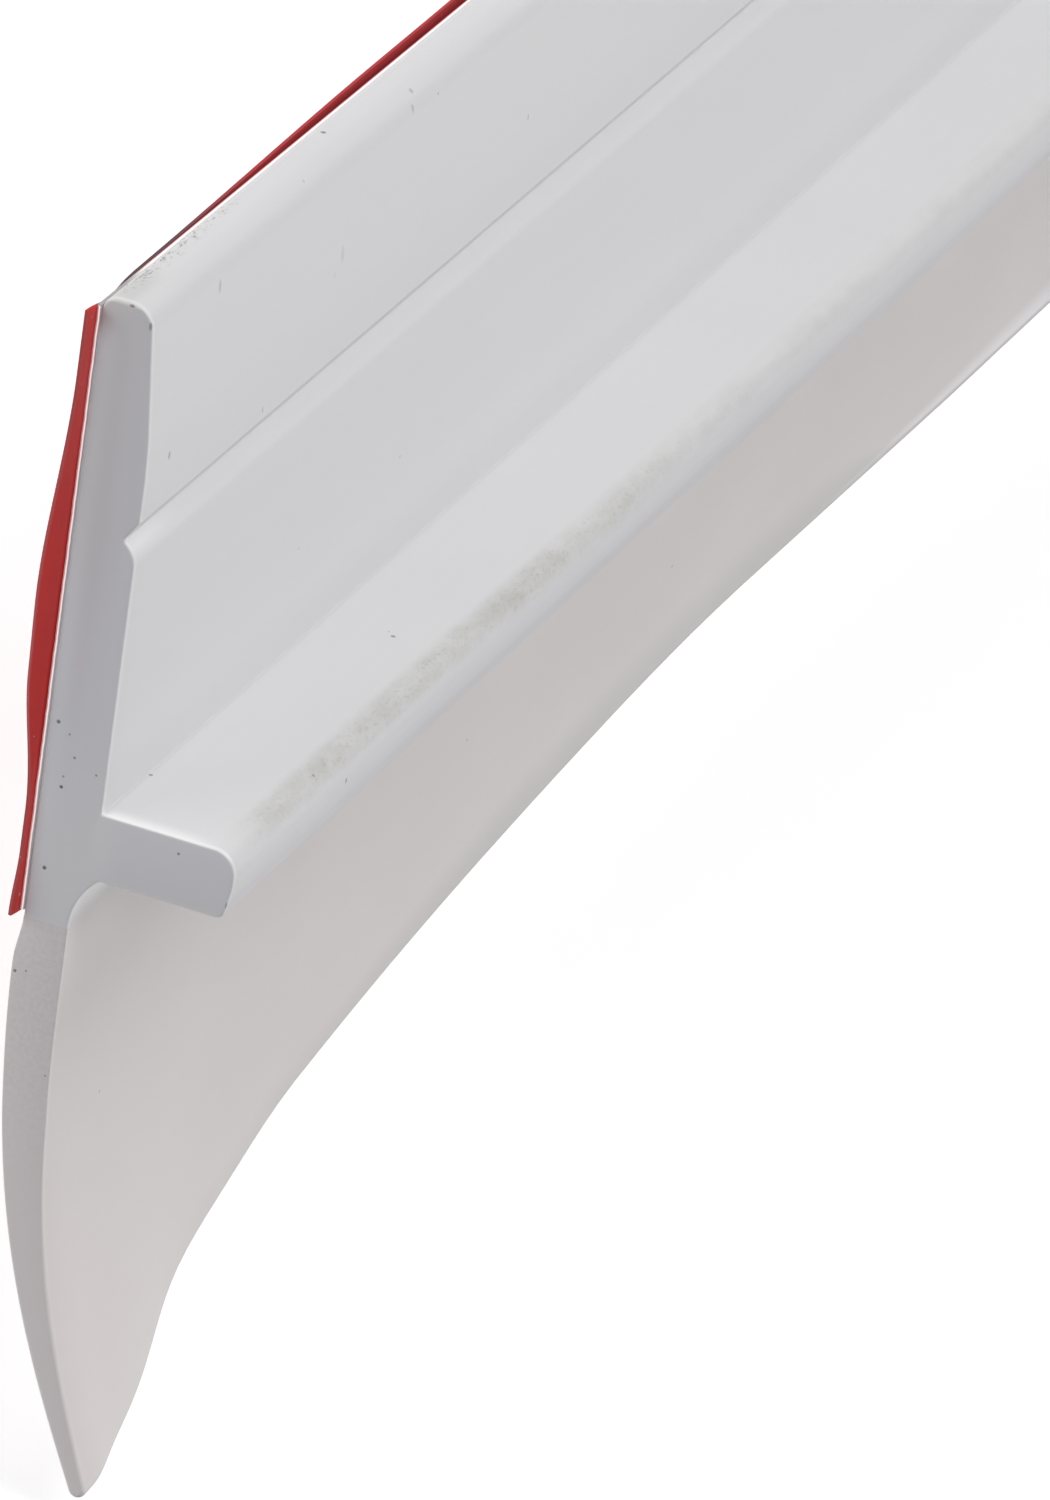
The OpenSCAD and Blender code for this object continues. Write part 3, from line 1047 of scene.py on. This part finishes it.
@dataclass
class SealingBlade:
    """The soft blade: it curls forward, leans back along the strip and stands free at its cut ends."""

    root_t: float = 1.45
    swell: float = 0.18
    swell_len: float = 1.5
    swell_fade: float = 6.0
    tip_t: float = 0.58
    length: float = 18.6
    even_len: float = 6.7
    straight: float = 2.0
    curl: float = 23.0
    lean: float = 29.645
    lean_len: float = 8.0
    near_share: float = 0.323
    near_len: float = 29.5
    flare_len: float = 71.86
    ripple: float = 1.88
    ripple_at: float = 14.94
    ripple_len: float = 6.16
    wave: float = 0.64
    wave_at: float = 69.9
    wave_len: float = 12.0
    flat_len: float = 2.0
    end_growth: float = 0.11
    end_growth_len: float = 3.2
    edge_r: float = 0.05
    tip_edge_r: float = 0.14
    tip_edge_at: Point = (5.0, 14.0)
    edge_rings: int = 7
    edge_margin: float = 1.2
    edge_crowding: float = 1.8
    flare_crowding: float = 1.7
    steps: int = 60
    tip_steps: int = 12
    flare_steps: int = 56
    middle_steps: int = 40
    bend_end: float = 6.5
    finish: SoftPvc = field(default_factory=SoftPvc)

    def lean_at(self, from_end: float) -> float:
        """The blade's lean, which dies away towards a cut end.

        Args:
            from_end: the distance from the nearest cut end.

        Returns:
            The lean in degrees.
        """
        rest = min(1.0, from_end / self.flare_len)
        near = self.near_share * float(smooth(from_end / self.near_len))
        ripple = self.ripple * math.exp(-((from_end - self.ripple_at) / self.ripple_len) ** 2)
        wave = self.wave * math.exp(-((from_end - self.wave_at) / self.wave_len) ** 2)
        flat = math.exp(-(from_end / self.flat_len) ** 2)
        settled = self.lean * (near + (1 - self.near_share) * rest * (2 - rest))
        return settled * (1 - flat) + ripple + wave

    def slope_at(self, s: np.ndarray, lean: float) -> np.ndarray:
        """The middle line's forward slope in radians, at distances from the joint."""
        turn = self.curl * smooth((s - self.straight) / (self.length - self.straight))
        return np.radians(turn - lean * smooth(s / self.lean_len))

    def drawn_in(self, s: np.ndarray, from_end: float) -> np.ndarray:
        """How far the rounding of the cut edge draws the outline in.

        Args:
            s: distances from the joint.
            from_end: the distance from the nearest cut end.

        Returns:
            The depth at each distance.
        """
        first, last = self.tip_edge_at
        radius = self.edge_r + (self.tip_edge_r - self.edge_r) * smooth((s - first) / (last - first))
        over = np.clip(radius - from_end, 0.0, None)
        return radius - np.sqrt(radius ** 2 - over ** 2)

    def section(self, from_end: float) -> np.ndarray:
        """The outline at one place: down the front, round the tip and up the back.

        Args:
            from_end: the distance from the nearest cut end.

        Returns:
            Its points: forward, up and the distance to the tip.
        """
        lean = self.lean_at(from_end)
        length = self.length + self.end_growth * math.exp(-(from_end / self.end_growth_len) ** 2)
        s = np.linspace(0.0, length, self.steps + 1)
        inset = self.drawn_in(s, from_end)
        ds = length / self.steps
        a = self.slope_at(s[:-1] + ds / 2, lean)
        walk = np.stack((np.sin(a), -np.cos(a)), 1) * ds
        middle = np.vstack(([self.root_t / 2, 0.0], [self.root_t / 2, 0.0] + np.cumsum(walk, 0)))
        taper = np.clip(s - self.even_len, 0, None) / (length - self.even_len)
        thick = self.root_t + (self.tip_t - self.root_t) * taper
        fade = 1 - smooth((s - self.swell_len) / self.swell_fade)
        swell = self.swell * smooth(s / self.swell_len) * fade
        slope = self.slope_at(s, lean)
        across = np.stack((np.cos(slope), np.sin(slope)), 1)
        front = middle + across * (thick / 2 - inset)[:, None]
        back = middle - across * (thick / 2 + swell - inset)[:, None]
        turn = slope[-1] - np.pi * np.arange(1, self.tip_steps) / self.tip_steps
        tip = middle[-1] + np.stack((np.cos(turn), np.sin(turn)), 1) * (self.tip_t / 2 - inset[-1])
        # Up the back the distance goes on below -1, so that the finish can tell the sides apart.
        to_tip = np.concatenate((length - s, (turn - slope[-1]) * self.tip_t / 2, s - length - 1.0))
        return np.column_stack((np.vstack((front, tip, back[::-1])), to_tip))

    def rings(self) -> List[float]:
        """Where the outlines stand along the strip.

        Returns:
            Each outline's distance from the near cut end.
        """
        reach, edge, bend = self.flare_len, self.edge_rings, self.flare_steps
        broken = [self.tip_edge_r * (k / edge) ** self.edge_crowding for k in range(edge + 1)]
        flare = [reach * (k / bend) ** self.flare_crowding for k in range(1, bend + 1)]
        near = broken + [d for d in flare if d > self.edge_margin * self.tip_edge_r]
        gap = (STRIP.length - 2 * reach) / self.middle_steps
        middle = [reach + gap * k for k in range(1, self.middle_steps)]
        return near + middle + [STRIP.length - d for d in reversed(near)]

    def build(self) -> bpy.types.Object:
        """Lofts the blade through its outlines.

        Returns:
            The piece.
        """
        points: List[Triple] = []
        to_tip: List[float] = []
        rings = self.rings()
        for d in rings:
            for forward, height, left in self.section(min(d, STRIP.length - d)):
                y, z = STRIP.across(forward, height)
                points.append(((d - STRIP.half) * MM, y * MM, z * MM))
                to_tip.append(float(left))
        n = len(points) // len(rings)
        faces: List[Tuple[int, ...]] = []
        for r in range(len(rings) - 1):
            for i in range(n):
                a, b = r * n + i, r * n + (i + 1) % n
                faces.append((a, b, b + n, a + n))
        half, last = n // 2, (len(rings) - 1) * n
        for i in range(half - 1):
            rung = (i, i + 1, n - 2 - i, n - 1 - i)
            faces.append(tuple(reversed(rung)))
            faces.append(tuple(last + k for k in rung))
        point = (half - 1, half, half + 1)
        faces += [tuple(reversed(point)), tuple(last + k for k in point)]
        piece = new_piece("blade_extrusion", points, (), faces)
        piece.data.attributes.new("to_tip", "FLOAT", "POINT").data.foreach_set("value", to_tip)
        piece.data.materials.append(self.finish.make())
        shade(piece)
        fit_out(piece, Slot.SOFT_PVC, "sealing_blade")
        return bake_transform(piece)


def thickened(g: ShapeGraph, sheet: Wire, thickness: Wire) -> Wire:
    """Closes a sheet that faces the carrier into a film.

    Args:
        g: the tree.
        sheet: the film's inner side.
        thickness: how thick it is, away from the carrier.

    Returns:
        The closed film.
    """
    outer = g.node("GeometryNodeFlipFaces", {}, {"Mesh": sheet})
    outer = g.node("GeometryNodeExtrudeMesh", {}, {
        "Mesh": outer, "Offset": (0.0, 1.0, 0.0), "Offset Scale": thickness, "Individual": False})
    both = g.node("GeometryNodeJoinGeometry", {}, {"Geometry": outer})
    g.tree.links.new(sheet.socket, both.socket.node.inputs["Geometry"])
    return g.node("GeometryNodeMergeByDistance", {}, {"Geometry": both, "Distance": SAME_POINT})


@dataclass
class TapeLayer:
    """One flat layer of the double-sided tape, with ragged cut ends."""

    node: str
    face: float
    thickness: float
    slot: Slot
    finish: TapeFilm
    ragged: float = 0.1
    tooth_waves: Point = (3.0, 1100.0)
    tooth_reach: Point = (0.9, 1.0)
    columns: int = 61
    rows: int = 196
    crowding: float = 3.0

    def build(self) -> bpy.types.Object:
        """Makes the layer.

        Returns:
            The piece.
        """
        piece = new_piece(self.node + "_layer", [(0.0, 0.0, 0.0)])
        g = ShapeGraph("tape_layer", Half_Length=STRIP.half * MM, Width=STRIP.tape_w * MM,
                       Face=self.face * MM, Thickness=self.thickness * MM, Ragged=self.ragged * MM,
                       Drop=STRIP.tape_drop * MM)
        drop = g.given("Drop")
        grid = g.node("GeometryNodeMeshGrid", {}, {
            "Size X": 2.0, "Size Y": g.given("Width") - drop,
            "Vertices X": self.columns, "Vertices Y": self.rows})
        u, up, _ = g.parts(g.node("GeometryNodeInputPosition"))
        up = up - drop / 2.0
        crowd = (1.0 - abs(u)) ** self.crowding
        along, across = self.tooth_waves
        tooth = g.noise(g.joined(u * along, g.given("Face"), up * across), 1.0, 4.0, 0.7) - 0.5
        teeth = tooth * g.given("Ragged") * 2.0 * abs(u).ramp(*self.tooth_reach)
        reach = g.given("Half_Length") * (1.0 - crowd) + teeth
        sheet = g.moved(grid, position=g.joined(u.sign() * reach, g.given("Face"), up))
        g.settle(thickened(g, sheet, g.given("Thickness")), piece, self.finish.make())
        shade(piece)
        fit_out(piece, self.slot, self.node)
        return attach(piece, Body.CARRIER.value)


@dataclass
class DoubleSidedTape:
    """The tape: a white film with adhesive on both sides, tinted where the liner lies on it."""

    inner: TapeFilm = TapeFilm("clear_white_adhesive", end=(0.72, 0.70, 0.71), end_glow=0.05)
    white: TapeFilm = TapeFilm("white_tape_film", end=(0.95, 0.82, 0.82), end_glow=0.75,
                               pale=(0.93, 0.93, 0.92), dull=(0.86, 0.86, 0.85), roughness=0.5)
    outer: TapeFilm = TapeFilm("adhesive_under_liner", end=(0.80, 0.45, 0.45), end_glow=0.25)

    def build(self) -> List[bpy.types.Object]:
        """Makes the layers from the carrier outwards.

        Returns:
            The pieces.
        """
        glue, film = STRIP.adhesive_t, STRIP.film_t
        layers = (
            TapeLayer("carrier_side_adhesive", -STRIP.tape_t, glue, Slot.ADHESIVE, self.inner),
            TapeLayer("tape_film", -glue - film, film, Slot.TAPE_FILM, self.white),
            TapeLayer("door_side_adhesive", -glue, glue, Slot.ADHESIVE, self.outer),
        )
        return [layer.build() for layer in layers]


@dataclass
class ReleaseLiner:
    """The red film over the tape: it bows off at the cut ends and lifts along its top edge."""

    thickness: float = 0.1
    overhang: float = 0.1
    shrink: float = 0.25
    end_stand: float = 0.63
    end_bulge: float = 0.40
    waist: float = 0.35
    foot_flare: float = 0.15
    end_gap: float = 0.01
    curl: float = 0.03
    curl_bulge: float = 0.29
    curl_start: float = 0.25
    curl_power: float = 1.5
    top_lift: float = 0.275
    top_dip: float = 0.2
    dip_at: Point = (1.6, 0.85)
    dip_up: Point = (8.0, 9.8)
    wave: float = 0.10
    wave_run: Point = (0.022, 0.05)
    wave_in: Point = (4.0, 40.0)
    stand_fade: float = 6.0
    bulge_top: Point = (7.8, 0.3)
    bulge_low: Point = (-6.6, -2.0)
    waist_at: Point = (3.0, -5.0)
    foot_at: Point = (-8.0, -10.0)
    foot_curl: float = 0.06
    lift_up: Point = (1.5, 9.8)
    lift_in: Point = (1.5, 22.0)
    lift_out: Point = (150.0, 60.0)
    columns: int = 221
    rows: int = 81
    crowding: float = 2.4
    finish: LinerFilm = field(default_factory=LinerFilm)

    def build(self) -> bpy.types.Object:
        """Makes the film.

        Returns:
            The piece.
        """
        piece = new_piece("release_liner_film", [(0.0, 0.0, 0.0)])
        g = ShapeGraph("liner_film", Half_Length=STRIP.half, Shrink=self.shrink,
                       Width=STRIP.tape_w + 2 * self.overhang,
                       Thickness=self.thickness * MM, End_Stand=self.end_stand, End_Bulge=self.end_bulge,
                       Waist=self.waist, Foot_Flare=self.foot_flare, End_Gap=self.end_gap,
                       Curl=self.curl, Curl_Bulge=self.curl_bulge, Curl_Start=self.curl_start,
                       Top_Lift=self.top_lift, Top_Dip=self.top_dip, Wave=self.wave)
        half = g.given("Half_Length")
        grid = g.node("GeometryNodeMeshGrid", {}, {
            "Size X": 2.0, "Size Y": g.given("Width") - g.given("Shrink"),
            "Vertices X": self.columns, "Vertices Y": self.rows})
        u, up, _ = g.parts(g.node("GeometryNodeInputPosition"))
        up = up - g.given("Shrink") / 2.0
        from_end = half * (1.0 - abs(u)) ** self.crowding
        bulge = up.ramp(*self.bulge_top) * up.ramp(*self.bulge_low)
        foot = up.ramp(*self.foot_at)
        stand = g.given("End_Stand") + g.given("End_Bulge") * bulge
        stand = stand - g.given("Waist") * up.ramp(*self.waist_at) + g.given("Foot_Flare") * foot
        reach = half - from_end + stand * from_end.bell(0.0, self.stand_fade)
        start = g.given("Curl_Start")
        past = (reach - half + start).most(0.0) / (stand + start)
        curl = g.given("Curl") + g.given("Curl_Bulge") * bulge + foot * self.foot_curl
        curl = curl * past ** self.curl_power
        along = from_end.ramp(*self.lift_in) * from_end.ramp(*self.lift_out)
        crest = g.given("Top_Lift") * up.ramp(*self.lift_up) * along
        x = u.sign() * reach
        waves = g.noise(g.joined(x * self.wave_run[0], up * self.wave_run[1], 0.0), 1.0, 2.0)
        ripple = waves.ramp(0.4, 0.75) * g.given("Wave") * from_end.ramp(*self.wave_in)
        lift = g.given("End_Gap") + curl + crest + ripple
        dip = g.given("Top_Dip") * from_end.bell(*self.dip_at) * up.ramp(*self.dip_up)
        spot = g.joined(x * MM, lift * MM, (up - dip) * MM)
        noted = g.node("GeometryNodeStoreNamedAttribute", {"data_type": "FLOAT"},
                       {"Geometry": grid, "Name": "past", "Value": past})
        film = thickened(g, g.moved(noted, position=spot), g.given("Thickness"))
        g.settle(film, piece, self.finish.make())
        shade(piece)
        fit_out(piece, Slot.LINER_FILM, "release_liner")
        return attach(piece, Body.LINER.value)


@dataclass(frozen=True)
class SoftBox:
    """A large soft light, aimed at a point of the strip."""

    name: str
    towards: Triple
    power: float
    distance: float = 3.0
    width: float = 2.4
    colour: Triple = (1.0, 1.0, 1.0)
    aim: Triple = (-0.25, 0.0, 0.0)

    def hang(self) -> None:
        """Adds the light."""
        lamp = bpy.data.lights.new(self.name, "AREA")
        lamp.shape, lamp.size = "SQUARE", self.width
        lamp.energy, lamp.color = self.power, self.colour
        box = bpy.data.objects.new(self.name, lamp)
        direction = Vector(self.towards).normalized()
        box.location = Vector(self.aim) + direction * self.distance
        box.rotation_mode = "QUATERNION"
        box.rotation_quaternion = direction.to_track_quat("Z", "Y")
        box.visible_camera = False
        bpy.context.scene.collection.objects.link(box)


@dataclass(frozen=True)
class Viewpoint:
    """The photograph's view of the near cut end, from a long lens."""

    azimuth: float = -70.7798
    elevation: float = 25.6318
    roll: float = 8.1606
    focal_px: float = 16418.3
    slide: Point = (-14.9449, -4.9067)
    distance: float = 487.564
    corner: Triple = (NEAR_CUT, -0.08, -STRIP.origin_z)
    image_height: float = 1500.0
    sensor: float = 36.0
    clip: Point = (0.01, 200.0)

    def set_up(self) -> None:
        """Adds the camera and makes it the scene's."""
        a, e, r = (math.radians(v) for v in (self.azimuth, self.elevation, self.roll))
        back = Vector((math.sin(a) * math.cos(e), -math.cos(a) * math.cos(e), math.sin(e)))
        level = Vector((0.0, 0.0, 1.0)).cross(back).normalized()
        rise = back.cross(level)
        right = math.cos(r) * level + math.sin(r) * rise
        up = math.cos(r) * rise - math.sin(r) * level
        turn = Matrix((right, up, back)).transposed()
        eye = Vector(self.corner) + turn @ Vector((-self.slide[0], -self.slide[1], self.distance))
        data = bpy.data.cameras.new("photo_view")
        data.sensor_width = self.sensor
        data.lens = self.focal_px / self.image_height * self.sensor
        data.clip_start, data.clip_end = self.clip
        camera = bpy.data.objects.new("photo_view", data)
        camera.matrix_world = Matrix.Translation(eye * MM) @ turn.to_4x4()
        bpy.context.scene.collection.objects.link(camera)
        bpy.context.scene.camera = camera


@dataclass(frozen=True)
class Studio:
    """A pale floor, soft light and the camera."""

    floor_z: float = -29.4
    floor_size: float = 60.0
    floor_tone: float = 0.90
    floor_glow: float = 0.35
    floor_roughness: float = 0.9
    sky: Triple = (0.975, 0.965, 1.0)
    sky_power: float = 0.288
    boxes: Tuple[SoftBox, ...] = (
        SoftBox("front_box", (0.0, -0.743, 0.669), 54.0),
        SoftBox("back_box", (0.0, 0.978, 0.208), 51.7),
        SoftBox("back_left_box", (-0.692, 0.692, 0.208), 37.0),
        SoftBox("top_box", (0.0, 0.0, 1.0), 18.3),
    )

    def floor(self) -> None:
        """Lays the floor under the blade."""
        half, z = self.floor_size / 2, self.floor_z * MM
        corners = [(-half, -half, z), (half, -half, z), (half, half, z), (-half, half, z)]
        floor = new_piece("studio_floor", corners, (), [(0, 1, 2, 3)])
        g = ShaderGraph("pale_floor")
        tone, glow = self.floor_tone, self.floor_glow
        floor.data.materials.append(g.finish(
            Base_Color=(tone, tone, tone, 1.0), Roughness=self.floor_roughness,
            Emission_Color=(1.0, 1.0, 1.0, 1.0), Emission_Strength=glow))
        floor.visible_diffuse = False

    def set_up(self) -> None:
        """Adds the floor, the sky, the lights and the camera."""
        self.floor()
        scene = bpy.context.scene
        world = bpy.data.worlds.new("studio_sky")
        world.use_nodes = True
        shader = world.node_tree.nodes["Background"]
        shader.inputs["Color"].default_value = (*self.sky, 1.0)
        shader.inputs["Strength"].default_value = self.sky_power
        scene.world = world
        scene.view_settings.view_transform = "Standard"
        for box in self.boxes:
            box.hang()
        Viewpoint().set_up()


def main() -> None:
    """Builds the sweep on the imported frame, then the studio round it."""
    logging.basicConfig(level=logging.INFO, format="%(message)s")
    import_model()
    pieces = [
        RigidCarrier().build(),
        SealingBlade().build(),
        *DoubleSidedTape().build(),
        ReleaseLiner().build(),
    ]
    Studio().set_up()
    log.info("%d pieces", len(pieces))


if __name__ == "__main__":
    main()
